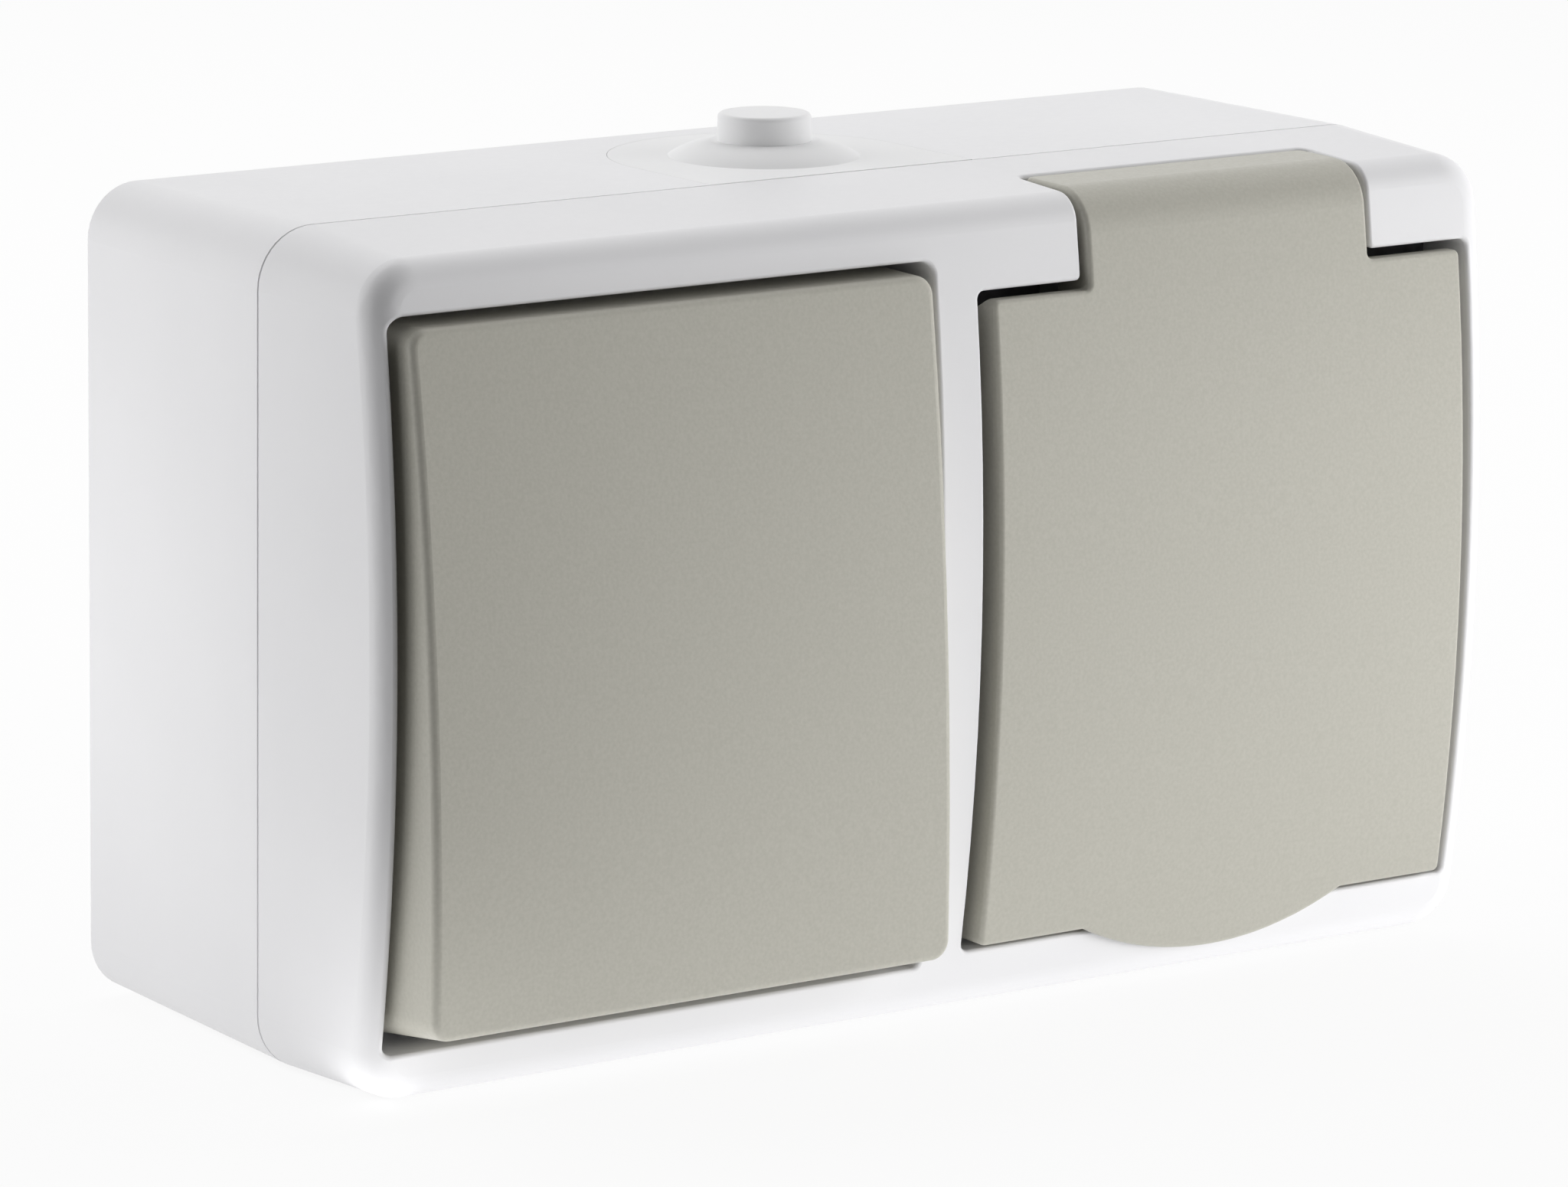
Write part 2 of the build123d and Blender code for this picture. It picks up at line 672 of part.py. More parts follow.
# Common contact: strip on the pocket floor with two cheeks that carry the lever
lever_top = lever_drop + 2 * lever_pin_radius
with BuildPart() as common_contact:
    with BuildSketch(at_depth(pocket_floor, switch_x)):
        with Locations((0, shelf_end / 2)):
            Rectangle(strip_width, -shelf_end)
        Rectangle(2 * (cheek_inset + cheek_thickness), strip_width)
        with Locations((0, terminal_z)):
            Circle(screw_hole, mode=Mode.SUBTRACT)
    extrude(amount=strip_thickness)
    for side in (-1, 1):
        with BuildSketch(side_on(switch_x + side * cheek_inset, lever_depth)):
            with Locations(((lever_drop - 2 * lever_pin_radius) / 2, 0)):
                Rectangle(lever_top, strip_width)
            Circle(lever_pin_radius + pivot_clearance, mode=Mode.SUBTRACT)
        extrude(amount=side * cheek_thickness)
common_contact.part.label = "common_contact"

# Contact lever: plate with two trunnions and a rivet at each end, tipped by the plunger
lever_plane = tipped(switch_x, lever_depth, lever_tilt)
with BuildPart() as contact_lever:
    with BuildSketch(lever_plane.offset(-strip_thickness / 2)):
        RectangleRounded(lever_width, lever_length, lever_corner)
    extrude(amount=strip_thickness)
    lever_pin_start = plunger_radius + plunger_track
    for side in (-1, 1):
        with BuildSketch(side_on(switch_x + side * lever_pin_start, lever_depth)):
            Circle(lever_pin_radius)
        extrude(amount=side * (lever_pin_reach - lever_pin_start))
    with BuildSketch(lever_plane.offset(-strip_thickness / 2)):
        with Locations((0, contact_reach), (0, -contact_reach)):
            Circle(rivet_radius)
    extrude(amount=-rivet_height)
contact_lever.part.label = "contact_lever"

# Fixed contacts: a strip from the terminal, a riser and an arm with a rivet behind the lever
rivet_rear = lever_depth - (strip_thickness / 2 + rivet_height) / cos(radians(lever_tilt))
rivet_touch = rivet_rear - (contact_reach + rivet_radius) * sin(radians(lever_tilt)) - contact_gap


def fixed_contact(side, z):
    """Fixed contact with its strip on one side of the lever and its rivet at height z."""
    strip_x = switch_x + side * strip_spread
    strip_top = z + arm_width / 2
    arm_start = strip_spread - strip_width / 2
    arm_front = rivet_touch - rivet_height
    with BuildPart() as contact:
        with BuildSketch(at_depth(pocket_floor, strip_x)):
            with Locations((0, (strip_top + shelf_end) / 2)):
                Rectangle(strip_width, strip_top - shelf_end)
            with Locations((0, terminal_z)):
                Circle(screw_hole, mode=Mode.SUBTRACT)
        extrude(amount=strip_thickness)
        with BuildSketch(at_depth(pocket_floor, switch_x + side * (arm_start + strip_thickness / 2), z)):
            Rectangle(strip_thickness, arm_width)
        extrude(amount=arm_front - pocket_floor)
        with BuildSketch(at_depth(arm_front, switch_x, z)):
            with Locations((side * (arm_start + strip_thickness - rivet_radius) / 2, 0)):
                Rectangle(arm_start + strip_thickness + rivet_radius, arm_width)
        extrude(amount=-strip_thickness)
        with BuildSketch(at_depth(arm_front, switch_x, z)):
            Circle(rivet_radius)
        extrude(amount=rivet_height)
    return contact.part


upper_contact = fixed_contact(-1, contact_reach)
upper_contact.label = "upper_contact"
lower_contact = fixed_contact(1, -contact_reach)
lower_contact.label = "lower_contact"

# Socket insert: flange, well with side guides, pin holes and slots for the earth clips
slot_start = well_bottom + clip_slot_start
slot_length = clip_front + clip_slot_fit - slot_start
with BuildPart() as socket_insert:
    with BuildSketch(at_depth(flange_front, socket_x, socket_z)):
        Circle(flange_radius)
    extrude(amount=-flange_thickness)
    fillet(socket_insert.faces().sort_by(Axis.Y)[0].edges(), radius=flange_rounding)
    with BuildSketch(at_depth(insert_rear, socket_x, socket_z)):
        Circle(tube_radius)
    extrude(amount=flange_front - flange_thickness - insert_rear)
    with BuildSketch(at_depth(well_bottom, socket_x, socket_z)):
        Circle(well_radius)
        with Locations((well_radius - guide_height / 2, 0), (guide_height / 2 - well_radius, 0)):
            Rectangle(guide_height, guide_width, mode=Mode.SUBTRACT)
    extrude(amount=well_depth, mode=Mode.SUBTRACT)
    with BuildSketch(at_depth(insert_rear, socket_x, socket_z)):
        with Locations(*pin_places):
            Circle(pin_hole_radius)
        Circle(screw_hole)
    extrude(amount=well_floor, mode=Mode.SUBTRACT)
    with BuildSketch(at_depth(well_bottom, socket_x, socket_z)):
        Circle(screw_head_radius + screw_clearance)
    extrude(amount=-centre_head_sink, mode=Mode.SUBTRACT)
    with BuildSketch(at_depth(slot_start, socket_x, socket_z)):
        with Locations((0, well_radius), (0, -well_radius)):
            Rectangle(clip_width + 2 * clip_slot_fit, 2 * (well_wall + clip_reach))
    extrude(amount=slot_length, mode=Mode.SUBTRACT)
socket_insert.part.label = "socket_insert"

# Rubber sheet on the floor of the lid recess, pressed down by the flange of the insert
trough_reach = sqrt(trough_radius**2 - (pin_depth - socket_floor) ** 2)
with BuildPart() as insert_gasket:
    with BuildSketch(at_depth(socket_floor, socket_x)):
        with Locations((0, (block_z + recess_bottom) / 2)):
            RectangleRounded(
                recess_width - 2 * insert_gasket_margin,
                recess_height - 2 * insert_gasket_margin,
                recess_corner,
            )
        with Locations((0, pin_z)):
            Rectangle(
                notch_width + 2 * insert_gasket_margin,
                2 * (trough_reach + insert_gasket_margin),
                mode=Mode.SUBTRACT,
            )
        with Locations((0, socket_z)):
            Circle(tube_radius + insert_fit, mode=Mode.SUBTRACT)
        with Locations(*[(x - socket_x, z) for x, z in socket_post_places]):
            Circle(screw_head_radius + insert_gasket_margin, mode=Mode.SUBTRACT)
    extrude(amount=insert_gasket_thickness)
insert_gasket.part.label = "insert_gasket"

# Socket base: block with two contact pockets, a groove for the earth strap, a shelf and lugs
terminal_places = [(-pin_spacing / 2, 0), (0, 0), (pin_spacing / 2, 0)]
with BuildPart() as socket_base:
    with BuildSketch(at_depth(socket_base_rear, socket_x, socket_z)):
        Rectangle(socket_base_width, socket_base_height)
    extrude(amount=socket_base_thickness)
    with BuildSketch(at_depth(socket_base_rear, socket_x, socket_z)):
        with Locations((0, socket_shelf_end / 2)):
            Rectangle(socket_base_width, -socket_shelf_end)
    extrude(amount=contact_floor - socket_base_rear)
    with BuildSketch(at_depth(socket_base_rear, socket_x, socket_z)):
        with Locations(*socket_lug_places):
            Rectangle(lug_length, lug_height)
    extrude(amount=lug_plate)
    with BuildSketch(at_depth(socket_base_rear, socket_x, socket_z)):
        with Locations(*socket_lug_places):
            Circle(screw_hole)
    extrude(amount=lug_plate, mode=Mode.SUBTRACT)
    with BuildSketch(at_depth(contact_floor, socket_x, socket_z)):
        with Locations(*pin_places):
            Rectangle(contact_pocket_width, contact_pocket_height)
    extrude(amount=contact_pocket_depth, mode=Mode.SUBTRACT)
    pocket_rim = socket_base_height - contact_pocket_height
    with BuildSketch(at_depth(contact_floor, socket_x, socket_z - socket_base_height / 2)):
        with Locations(*pin_places):
            Rectangle(strip_width + 2 * strip_gap, pocket_rim)
    extrude(amount=strip_thickness + strip_gap, mode=Mode.SUBTRACT)
    with BuildSketch(at_depth(insert_rear, socket_x, socket_z)):
        Rectangle(clip_width + 2 * strip_gap, socket_base_height)
    extrude(amount=-clip_thickness, mode=Mode.SUBTRACT)
    with BuildSketch(at_depth(insert_rear, socket_x, socket_z)):
        Circle(screw_radius)
    extrude(amount=-centre_screw_length, mode=Mode.SUBTRACT)
    with BuildSketch(at_depth(contact_floor, socket_x, socket_z + socket_terminal_z)):
        with Locations(*terminal_places):
            Circle(screw_hole)
    extrude(amount=-terminal_screw_length, mode=Mode.SUBTRACT)
socket_base.part.label = "socket_base"

socket_fixing_screws = pan_screws(
    [(socket_base_rear + lug_plate, socket_x + x, socket_z) for x, z in socket_lug_places],
    fixing_screw_length,
)
socket_fixing_screws.label = "socket_fixing_screws"
centre_screw_place = (well_bottom - centre_head_sink, socket_x, socket_z)
socket_centre_screw = pan_screws([centre_screw_place], centre_screw_length)
socket_centre_screw.label = "socket_centre_screw"
terminal_seat = contact_floor + strip_thickness
socket_terminal_screws = pan_screws(
    [(terminal_seat, socket_x + x, socket_z + socket_terminal_z) for x, z in terminal_places],
    terminal_screw_length,
)
socket_terminal_screws.label = "socket_terminal_screws"


def pin_contact(side):
    """Split sleeve round one pin hole, standing on a strip that runs to its terminal."""
    x = socket_x + side * pin_spacing / 2
    strip_top = sleeve_radius + sleeve_wall
    sleeve_top = insert_rear - sleeve_end_gap
    with BuildPart() as contact:
        with BuildSketch(at_depth(contact_floor, x, socket_z)):
            with Locations((0, (strip_top + socket_shelf_end) / 2)):
                Rectangle(strip_width, strip_top - socket_shelf_end)
            with Locations((0, socket_terminal_z)):
                Circle(screw_hole, mode=Mode.SUBTRACT)
        extrude(amount=strip_thickness)
        with BuildSketch(at_depth(contact_floor + strip_thickness, x, socket_z)):
            Circle(sleeve_radius + sleeve_wall)
            Circle(sleeve_radius, mode=Mode.SUBTRACT)
            with Locations((0, sleeve_radius)):
                Rectangle(sleeve_slit, 2 * sleeve_radius, mode=Mode.SUBTRACT)
        extrude(amount=sleeve_top - contact_floor - strip_thickness)
    return contact.part


live_contact = pin_contact(-1)
live_contact.label = "live_contact"
neutral_contact = pin_contact(1)
neutral_contact.label = "neutral_contact"

# Earth bracket: strap behind the well, two bent clips and a tail to the middle terminal
clip_middle = (clip_front + slot_start) / 2
clip_tip = well_radius - clip_reach
clip_end = well_radius - clip_end_inset
clip_end_depth = slot_start + clip_end_lead
strap_rear = insert_rear - clip_thickness
with BuildPart() as earth_bracket:
    with BuildSketch(at_depth(strap_rear, socket_x, socket_z)):
        Rectangle(clip_width, 2 * leg_outer)
        Circle(screw_hole, mode=Mode.SUBTRACT)
    extrude(amount=clip_thickness)
    for side in (-1, 1):
        with BuildSketch(side_on(socket_x - clip_width / 2, 0, socket_z)):
            with BuildLine():
                Polyline(
                    (-strap_rear, side * leg_outer),
                    (-clip_front, side * leg_outer),
                    (-clip_middle, side * clip_tip),
                    (-clip_end_depth, side * clip_end),
                    (-clip_end_depth, side * (clip_end + clip_fold)),
                    (-clip_middle, side * (clip_tip + clip_fold)),
                    (clip_fold - clip_front, side * clip_back),
                    (-strap_rear, side * clip_back),
                    close=True,
                )
            make_face()
        extrude(amount=clip_width)
    with BuildSketch(at_depth(contact_floor, socket_x, socket_z - clip_back - clip_thickness / 2)):
        Rectangle(strip_width, clip_thickness)
    extrude(amount=strap_rear - contact_floor)
    with BuildSketch(at_depth(contact_floor, socket_x, socket_z)):
        with Locations((0, (socket_shelf_end - clip_back) / 2)):
            Rectangle(strip_width, -socket_shelf_end - clip_back)
        with Locations((0, socket_terminal_z)):
            Circle(screw_hole, mode=Mode.SUBTRACT)
    extrude(amount=strip_thickness)
earth_bracket.part.label = "earth_bracket"

# Hollow of the lid, with the crown of its inner face
lid_middle_z = (lid_top + lid_bottom) / 2
lid_height = lid_top - lid_bottom
lid_rise = lid_front - lid_foot
with BuildPart() as lid_core:
    with BuildSketch(at_depth(lid_foot, socket_x, lid_middle_z)):
        RectangleRounded(lid_width - 2 * lid_wall, lid_height - 2 * lid_wall, lid_corner)
    extrude(amount=lid_rise)
    with Locations((0, crown_radius - lid_front, lid_crown_z)):
        Cylinder(
            crown_radius - lid_wall, 2 * housing_width, rotation=(0, 90, 0), mode=Mode.INTERSECT
        )

# Finger lip: a thin flange that passes in front of the cover's frame
with BuildPart() as finger_lip:
    with BuildSketch(at_depth(lid_foot, socket_x, lid_bottom)) as lip_outline:
        with Locations((0, lip_corner)):
            Rectangle(lid_width - 2 * lid_corner, 2 * lip_corner)
        with BuildLine():
            ThreePointArc((-lip_width / 2, 0), (0, -lip_drop), (lip_width / 2, 0))
            Line((lip_width / 2, 0), (-lip_width / 2, 0))
        make_face()
        lip_ends = [end for end in lip_outline.vertices() if abs(end.X) < lip_width / 2 + lip_corner]
        fillet(lip_ends, radius=lip_corner)
    extrude(amount=lid_rise)
    with Locations((0, crown_radius - front_depth, crown_z)):
        Cylinder(
            crown_radius + lip_gap, 2 * housing_width, rotation=(0, 90, 0), mode=Mode.SUBTRACT
        )

# Arcs of the hinge tab, seen from the side
crown_middle = (crown_radius - lid_front, lid_crown_z)
pin_middle = (-pin_depth, pin_z)
rounding_end = 180 - degrees(asin(pin_rise / (crown_radius - tab_rounding)))
root_z = lid_top - tab_root
tail_wall = tab_rounding - lid_wall
tail_angle = degrees(asin(tab_rounding / tail_radius))
tail_end_angle = degrees(asin(tail_wall / tail_radius))
outer_root = 180 - degrees(asin((root_z - lid_crown_z) / crown_radius))
inner_root = 180 - degrees(asin((root_z - lid_crown_z) / (crown_radius - lid_wall)))
swing_radius = swing_gap + sqrt((crown_front(block_z) - pin_depth) ** 2 + (pin_z - block_z) ** 2)
shoulder_width = (lid_width - tab_width) / 2
barrel_shift = (tab_width - barrel_width) / 2

# Hinge tab: front wall and roof bent round the pin, ending in a tail that follows the trough
with BuildPart() as hinge_tab:
    with BuildSketch(side_on(socket_x)):
        with BuildLine():
            outer = CenterArc(crown_middle, crown_radius, outer_root, rounding_end - outer_root)
            round_top = CenterArc(pin_middle, tab_rounding, rounding_end, 90 - rounding_end)
            tail = CenterArc(pin_middle, tail_radius, tail_angle, tail_end_angle - tail_angle)
            round_under = CenterArc(pin_middle, tail_wall, 90, rounding_end - 90)
            inner = CenterArc(
                crown_middle, crown_radius - lid_wall, rounding_end, inner_root - rounding_end
            )
            Line(round_top @ 1, tail @ 0)
            Line(tail @ 1, round_under @ 0)
            Line(inner @ 1, outer @ 0)
        make_face()
    extrude(amount=tab_width / 2, both=True)
    tab_arcs = hinge_tab.edges().filter_by(GeomType.CIRCLE)
    fillet([arc for arc in tab_arcs if abs(arc.radius - tail_radius) < trough_gap], radius=tail_corner)

# Lid: crowned shell with a finger lip, a hinge tab with two barrels and a seat for its gasket
with BuildPart() as socket_lid:
    with BuildSketch(at_depth(lid_foot, socket_x)) as lid_outline:
        with Locations((0, lid_middle_z)):
            RectangleRounded(lid_width, lid_height, lid_corner)
        with Locations((0, lid_top)):
            Rectangle(tab_width, 2 * (shoulder_corner + tab_foot))
        beside_tab = [end for end in lid_outline.vertices() if abs(abs(end.X) - tab_width / 2) < tab_foot]
        inner_corners = [end for end in beside_tab if abs(end.Y - lid_top) < tab_foot]
        fillet(inner_corners, radius=shoulder_corner)
    extrude(amount=lid_rise)
    add(finger_lip.part)
    with Locations((0, crown_radius - lid_front, lid_crown_z)):
        Cylinder(crown_radius, 2 * housing_width, rotation=(0, 90, 0), mode=Mode.INTERSECT)
    add(hinge_tab.part)
    for side in (-1, 1):
        shoulder_x = socket_x + side * (tab_width + shoulder_width) / 2
        with BuildSketch(side_on(shoulder_x, pin_depth, pin_z)):
            Circle(swing_radius)
        extrude(amount=shoulder_width / 2, both=True, mode=Mode.SUBTRACT)
    lid_face = socket_lid.faces().filter_by(GeomType.CYLINDER).sort_by(SortBy.AREA)[-1]
    fillet(lid_face.edges().sort_by(Axis.Z)[:-1], radius=lid_rounding)
    add(lid_core.part, mode=Mode.SUBTRACT)
    with BuildSketch(at_depth(seat_ring_depth, socket_x, socket_z)):
        Circle(seat_ring_radius)
        Circle(seat_ring_radius - seat_ring_width, mode=Mode.SUBTRACT)
    extrude(amount=lid_front - lid_wall - seat_ring_depth)
    for side in (-1, 1):
        with BuildSketch(side_on(socket_x + side * barrel_shift, pin_depth, pin_z)):
            Circle(barrel_radius)
        extrude(amount=barrel_width / 2, both=True)
    with BuildSketch(side_on(socket_x, pin_depth, pin_z)):
        Circle(pin_radius + pivot_clearance)
    extrude(amount=tab_width, both=True, mode=Mode.SUBTRACT)
socket_lid.part.label = "socket_lid"

# Rubber ring on the seat of the lid
with BuildPart() as lid_gasket:
    with BuildSketch(at_depth(gasket_rear, socket_x, socket_z)):
        gasket_outer = seat_ring_radius - (seat_ring_width - lid_gasket_width) / 2
        Circle(gasket_outer)
        Circle(gasket_outer - lid_gasket_width, mode=Mode.SUBTRACT)
    extrude(amount=lid_gasket_thickness)
lid_gasket.part.label = "lid_gasket"

# Hinge pin through both barrels and into the blocks of the cover
with BuildPart() as hinge_pin:
    with BuildSketch(side_on(socket_x, pin_depth, pin_z)):
        Circle(pin_radius)
    extrude(amount=notch_width / 2 + pin_seat, both=True)
hinge_pin.part.label = "hinge_pin"

# Torsion spring round the pin, between the barrels
spring_room = tab_width - 2 * barrel_width - 2 * lid_spring_gap - 2 * lid_spring_wire
with BuildPart() as lid_spring:
    with BuildLine():
        coil_line = Helix(
            spring_room / lid_spring_turns,
            spring_room,
            lid_spring_coil,
            center=(socket_x - spring_room / 2, -pin_depth, pin_z),
            direction=(1, 0, 0),
        )
    with BuildSketch(Plane(origin=coil_line @ 0, z_dir=coil_line % 0)):
        Circle(lid_spring_wire)
    sweep(is_frenet=True)
lid_spring.part.label = "lid_spring"

# One file for each piece
pieces = [
    back_box.part,
    box_seal.part,
    front_cover.part,
    cover_screws,
    entry_grommet.part,
    switch_rocker.part,
    rocker_plunger.part,
    rocker_spring.part,
    switch_base.part,
    switch_gasket.part,
    switch_fixing_screws,
    switch_terminal_screws,
    common_contact.part,
    contact_lever.part,
    upper_contact,
    lower_contact,
    socket_insert.part,
    insert_gasket.part,
    socket_base.part,
    socket_fixing_screws,
    socket_centre_screw,
    socket_terminal_screws,
    live_contact,
    neutral_contact,
    earth_bracket.part,
    socket_lid.part,
    lid_gasket.part,
    hinge_pin.part,
    lid_spring.part,
]
os.makedirs("parts", exist_ok=True)
for piece in pieces:
    export_step(piece, f"parts/{piece.label}.step")
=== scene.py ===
import json
from math import pi, radians

import bpy
from mathutils import Matrix, Vector


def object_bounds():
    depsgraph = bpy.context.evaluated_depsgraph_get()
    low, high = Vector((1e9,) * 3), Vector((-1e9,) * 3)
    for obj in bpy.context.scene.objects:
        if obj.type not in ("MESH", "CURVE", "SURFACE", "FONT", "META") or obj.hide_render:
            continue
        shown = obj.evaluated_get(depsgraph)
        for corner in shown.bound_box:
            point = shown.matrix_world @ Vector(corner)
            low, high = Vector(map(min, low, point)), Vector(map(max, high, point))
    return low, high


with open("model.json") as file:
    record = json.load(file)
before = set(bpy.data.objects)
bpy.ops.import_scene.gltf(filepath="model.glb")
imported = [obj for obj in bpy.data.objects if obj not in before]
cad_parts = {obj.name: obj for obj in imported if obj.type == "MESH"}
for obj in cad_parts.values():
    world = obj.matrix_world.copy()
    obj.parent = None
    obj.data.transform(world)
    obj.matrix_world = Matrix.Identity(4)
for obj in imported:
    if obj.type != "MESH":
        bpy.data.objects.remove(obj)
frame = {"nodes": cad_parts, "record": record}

# Looks of a surface-mounted switch and socket combination, in metres
cad_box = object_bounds()

# Camera at the photograph's place
view_azimuth = radians(-35.022)
view_elevation = radians(12.273)
view_roll = radians(0.842)
view_distance = 0.841164
view_shift_right = 0.013923
view_shift_up = -0.007614
view_lens = 180.29
view_sensor = 36.0
view_nearest = 0.01

# Light levels
ambient_level = 0.06
floor_size = 6.0
floor_white = 0.9
floor_glow = 0.9  # share of an even white in the floor as it is seen, the rest keeps the shadow
object_middle = (0, -0.03, 0)
lamp_clearance = 0.0005
near_floor = cad_box[0].z + lamp_clearance
lamps = [  # name, place, point it faces or None for upwards, width, height, power
    ("left_panel", (-1.0, 0.0, 0.15), object_middle, 0.8, 0.8, 3.3),
    ("left_rear_panel", (-0.8, 0.7, 0.4), object_middle, 0.8, 0.8, 5.3),
    ("rear_panel", (0.1, 0.6, 0.8), object_middle, 1.0, 0.8, 4.8),
    ("upper_right_panel", (0.6, 0.0, 0.7), object_middle, 0.6, 0.6, 2.8),
    ("front_right_panel", (0.75, -0.65, 0.2), object_middle, 0.8, 0.8, 5.3),
    ("front_right_strip", (0.35, -0.35, 0.0), object_middle, 0.3, 0.08, 0.7),
    ("front_foot_light", (0, -0.072, near_floor), None, 0.18, 0.048, 0.028),
    ("front_table_light", (0.03, -0.136, near_floor), None, 0.15, 0.08, 0.05),
    ("right_table_light", (0.13, -0.15, near_floor), None, 0.08, 0.15, 0.1),
    ("left_foot_light", (-0.085, -0.03, near_floor), None, 0.042, 0.11, 0.009),
    ("left_table_light", (-0.15, 0.035, near_floor), None, 0.08, 0.13, 0.083),
    ("far_table_light", (-0.45, 0.35, near_floor), None, 0.5, 0.5, 1.0),
]

# Patterns of the finishes; a scale of 1000 is a grain of a millimetre
noise_dark = 0.3
noise_light = 0.7
drawn_line_scale = (200, 4000, 4000)
drawn_line_strength = 0.1
drawn_line_depth = 0.00003
metal_tone_scale = 300


def add_camera():
    """Camera that sees the object as the photograph does."""
    turn = Matrix.Rotation(view_azimuth, 4, "Z")
    tip = Matrix.Rotation(pi / 2 - view_elevation, 4, "X")
    roll = Matrix.Rotation(view_roll, 4, "Z")
    aim = turn @ tip @ roll
    place = aim @ Vector((view_shift_right, view_shift_up, view_distance))
    data = bpy.data.cameras.new("camera")
    data.lens = view_lens
    data.sensor_fit = "HORIZONTAL"
    data.sensor_width = view_sensor
    data.clip_start = view_nearest
    camera = bpy.data.objects.new("camera", data)
    camera.matrix_world = Matrix.Translation(place) @ aim
    bpy.context.scene.collection.objects.link(camera)
    bpy.context.scene.camera = camera


def seen_directly(tree):
    """Socket that is 1 for rays from the camera and for mirrored or refracted ones, else 0."""
    path = tree.nodes.new("ShaderNodeLightPath")
    total = path.outputs["Is Camera Ray"]
    for name in ("Is Glossy Ray", "Is Transmission Ray"):
        larger = tree.nodes.new("ShaderNodeMath")
        larger.operation = "MAXIMUM"
        tree.links.new(total, larger.inputs[0])
        tree.links.new(path.outputs[name], larger.inputs[1])
        total = larger.outputs["Value"]
    return total


def add_world():
    """White surroundings that light the object softly."""
    world = bpy.data.worlds.new("studio")
    world.use_nodes = True
    tree = world.node_tree
    tree.nodes.clear()
    seen = tree.nodes.new("ShaderNodeBackground")
    seen.inputs["Strength"].default_value = 1.0
    lit = tree.nodes.new("ShaderNodeBackground")
    lit.inputs["Strength"].default_value = ambient_level
    for background in (seen, lit):
        background.inputs["Color"].default_value = (1, 1, 1, 1)
    mix = tree.nodes.new("ShaderNodeMixShader")
    output = tree.nodes.new("ShaderNodeOutputWorld")
    tree.links.new(seen_directly(tree), mix.inputs["Fac"])
    tree.links.new(lit.outputs["Background"], mix.inputs[1])
    tree.links.new(seen.outputs["Background"], mix.inputs[2])
    tree.links.new(mix.outputs["Shader"], output.inputs["Surface"])
    bpy.context.scene.world = world


def add_floor():
    """Pale floor under the object that keeps its shadow."""
    bpy.ops.object.select_all(action="DESELECT")
    bpy.ops.mesh.primitive_plane_add(size=floor_size, location=(0, 0, cad_box[0].z))
    floor = bpy.context.active_object
    floor.name = "floor"
    material = bpy.data.materials.new("floor_white")
    material.use_nodes = True
    tree = material.node_tree
    tree.nodes.clear()
    matte = tree.nodes.new("ShaderNodeBsdfDiffuse")
    matte.inputs["Color"].default_value = (floor_white, floor_white, floor_white, 1)
    white = tree.nodes.new("ShaderNodeEmission")
    mix = tree.nodes.new("ShaderNodeMixShader")
    mix.inputs["Fac"].default_value = floor_glow
    output = tree.nodes.new("ShaderNodeOutputMaterial")
    tree.links.new(seen_directly(tree), white.inputs["Strength"])
    tree.links.new(matte.outputs["BSDF"], mix.inputs[1])
    tree.links.new(white.outputs["Emission"], mix.inputs[2])
    tree.links.new(mix.outputs["Shader"], output.inputs["Surface"])
    floor.data.materials.append(material)


def add_lamp(name, place, aim, width, height, power):
    """Soft rectangular lamp that is neither seen nor mirrored."""
    data = bpy.data.lights.new(name, "AREA")
    data.shape = "RECTANGLE"
    data.size = width
    data.size_y = height
    data.energy = power
    lamp = bpy.data.objects.new(name, data)
    lamp.location = place
    way = Vector(aim) - Vector(place) if aim else Vector((0, 0, 1))
    lamp.rotation_euler = way.to_track_quat("-Z", "Y").to_euler()
    lamp.visible_camera = False
    lamp.visible_glossy = False
    bpy.context.scene.collection.objects.link(lamp)


def start_material(name):
    """New material with its node tree and its shader."""
    material = bpy.data.materials.new(name)
    material.use_nodes = True
    return material, material.node_tree, material.node_tree.nodes["Principled BSDF"]


def noise(tree, scale, detail=2.0):
    """Noise on the object's own coordinates."""
    place = tree.nodes.new("ShaderNodeTexCoord")
    pattern = tree.nodes.new("ShaderNodeTexNoise")
    pattern.inputs["Scale"].default_value = scale
    pattern.inputs["Detail"].default_value = detail
    tree.links.new(place.outputs["Object"], pattern.inputs["Vector"])
    return pattern.outputs["Fac"]


def spread(tree, value, low, high):
    """Brings the middle of a noise to the range from low to high."""
    node = tree.nodes.new("ShaderNodeMapRange")
    node.inputs["From Min"].default_value = noise_dark
    node.inputs["From Max"].default_value = noise_light
    node.inputs["To Min"].default_value = low
    node.inputs["To Max"].default_value = high
    tree.links.new(value, node.inputs["Value"])
    return node.outputs["Result"]


def two_tones(tree, factor, first, second):
    """Colour between two tones."""
    node = tree.nodes.new("ShaderNodeMix")
    node.data_type = "RGBA"
    node.inputs["A"].default_value = (*first, 1)
    node.inputs["B"].default_value = (*second, 1)
    tree.links.new(factor, node.inputs["Factor"])
    return node.outputs["Result"]


def add_bump(tree, shader, height, strength, depth):
    """Relief of the given depth on the shader."""
    node = tree.nodes.new("ShaderNodeBump")
    node.inputs["Strength"].default_value = strength
    node.inputs["Distance"].default_value = depth
    tree.links.new(height, node.inputs["Height"])
    tree.links.new(node.outputs["Normal"], shader.inputs["Normal"])


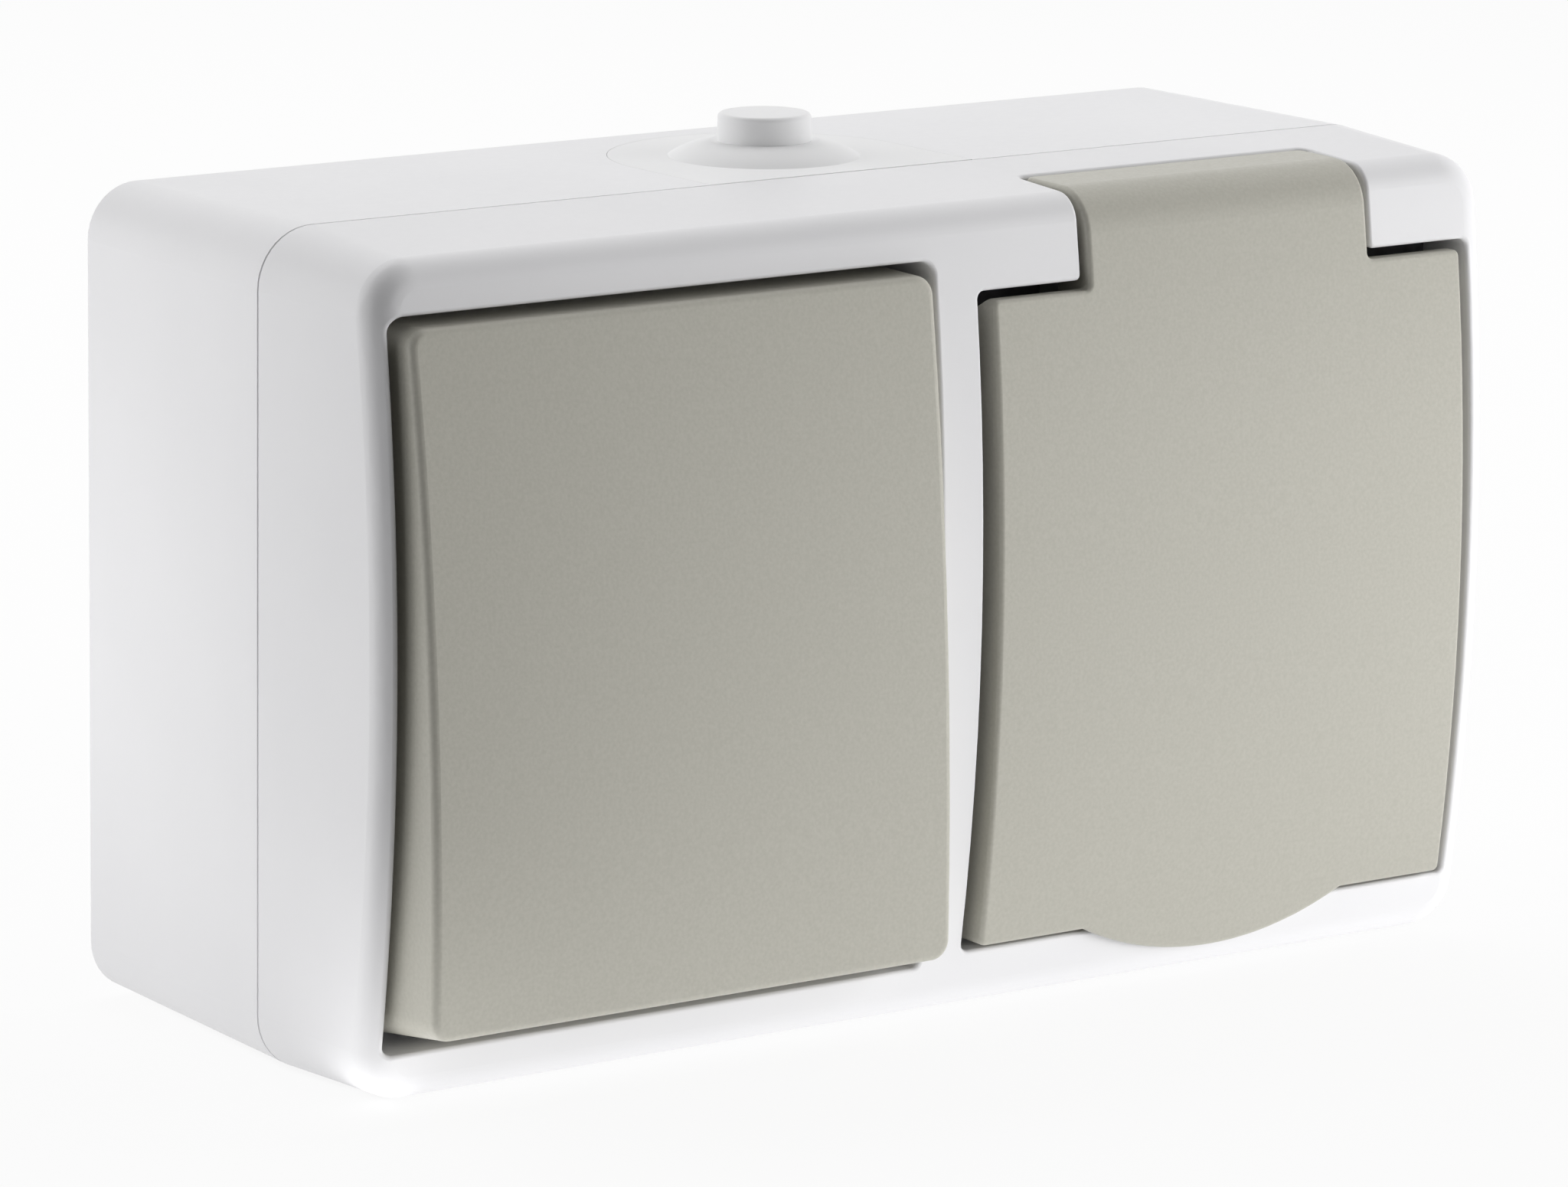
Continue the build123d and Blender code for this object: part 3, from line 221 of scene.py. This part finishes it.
def moulded_finish(
    name,
    darker,
    lighter,
    tone_scale,
    roughness,
    roughness_scale,
    relief_scale,
    relief_strength,
    relief_depth,
    detail=2.0,
):
    """Moulded material with two close tones, an uneven sheen and a fine relief."""
    material, tree, shader = start_material(name)
    tone = spread(tree, noise(tree, tone_scale, detail), 0, 1)
    tree.links.new(two_tones(tree, tone, darker, lighter), shader.inputs["Base Color"])
    tree.links.new(spread(tree, noise(tree, roughness_scale), *roughness), shader.inputs["Roughness"])
    add_bump(tree, shader, noise(tree, relief_scale, detail), relief_strength, relief_depth)
    return material


def white_satin_plastic():
    """White plastic of the box and the cover, with a soft sheen."""
    return moulded_finish(
        "white_satin_plastic",
        darker=(0.79, 0.788, 0.802),
        lighter=(0.82, 0.817, 0.83),
        tone_scale=35,
        roughness=(0.34, 0.42),
        roughness_scale=900,
        relief_scale=3000,
        relief_strength=0.08,
        relief_depth=0.00004,
    )


def grey_grained_plastic():
    """Warm grey plastic of the rocker, the lid and the socket, with a fine sandy grain."""
    return moulded_finish(
        "grey_grained_plastic",
        darker=(0.435, 0.424, 0.37),
        lighter=(0.475, 0.464, 0.408),
        tone_scale=2600,
        roughness=(0.36, 0.44),
        roughness_scale=1500,
        relief_scale=2600,
        relief_strength=0.2,
        relief_depth=0.00006,
        detail=3.0,
    )


def white_soft_rubber():
    """White rubber of the cable grommet."""
    return moulded_finish(
        "white_soft_rubber",
        darker=(0.82, 0.82, 0.825),
        lighter=(0.85, 0.85, 0.855),
        tone_scale=60,
        roughness=(0.5, 0.6),
        roughness_scale=1200,
        relief_scale=2200,
        relief_strength=0.1,
        relief_depth=0.00005,
    )


def dark_seal_rubber():
    """Dark rubber of the seals."""
    return moulded_finish(
        "dark_seal_rubber",
        darker=(0.03, 0.03, 0.032),
        lighter=(0.05, 0.05, 0.052),
        tone_scale=400,
        roughness=(0.55, 0.75),
        roughness_scale=1500,
        relief_scale=2500,
        relief_strength=0.15,
        relief_depth=0.00005,
    )


def off_white_plastic():
    """Matte off-white plastic of the inner mouldings."""
    return moulded_finish(
        "off_white_plastic",
        darker=(0.68, 0.67, 0.63),
        lighter=(0.72, 0.71, 0.68),
        tone_scale=80,
        roughness=(0.5, 0.65),
        roughness_scale=1500,
        relief_scale=2500,
        relief_strength=0.12,
        relief_depth=0.00005,
    )


def drawn_metal(name, darker, lighter, roughness):
    """Metal with fine drawn lines along X."""
    material, tree, shader = start_material(name)
    shader.inputs["Metallic"].default_value = 1.0
    place = tree.nodes.new("ShaderNodeTexCoord")
    stretch = tree.nodes.new("ShaderNodeMapping")
    stretch.inputs["Scale"].default_value = drawn_line_scale
    lines = tree.nodes.new("ShaderNodeTexNoise")
    lines.inputs["Scale"].default_value = 1.0
    tree.links.new(place.outputs["Object"], stretch.inputs["Vector"])
    tree.links.new(stretch.outputs["Vector"], lines.inputs["Vector"])
    tone = spread(tree, noise(tree, metal_tone_scale), 0, 1)
    tree.links.new(two_tones(tree, tone, darker, lighter), shader.inputs["Base Color"])
    tree.links.new(spread(tree, lines.outputs["Fac"], *roughness), shader.inputs["Roughness"])
    add_bump(tree, shader, lines.outputs["Fac"], drawn_line_strength, drawn_line_depth)
    return material


def zinc_steel():
    """Zinc-plated steel of the screws, the pin, the springs and the earth bracket."""
    return drawn_metal("zinc_steel", (0.58, 0.58, 0.59), (0.66, 0.66, 0.67), roughness=(0.28, 0.42))


def plain_brass():
    """Plain brass of the contacts."""
    return drawn_metal("plain_brass", (0.74, 0.53, 0.22), (0.82, 0.61, 0.27), roughness=(0.25, 0.38))


bpy.context.scene.view_settings.view_transform = "Standard"
add_camera()
add_world()
add_floor()
for lamp in lamps:
    add_lamp(*lamp)

finishes = {
    "white_plastic": white_satin_plastic(),
    "grey_plastic": grey_grained_plastic(),
    "white_rubber": white_soft_rubber(),
    "dark_rubber": dark_seal_rubber(),
    "base_plastic": off_white_plastic(),
    "steel": zinc_steel(),
    "brass": plain_brass(),
}
for subpart in frame["record"]["subparts"]:
    node = frame["nodes"][subpart["node"]]
    node.data.materials.clear()
    node.data.materials.append(finishes[subpart["material_slot"]])
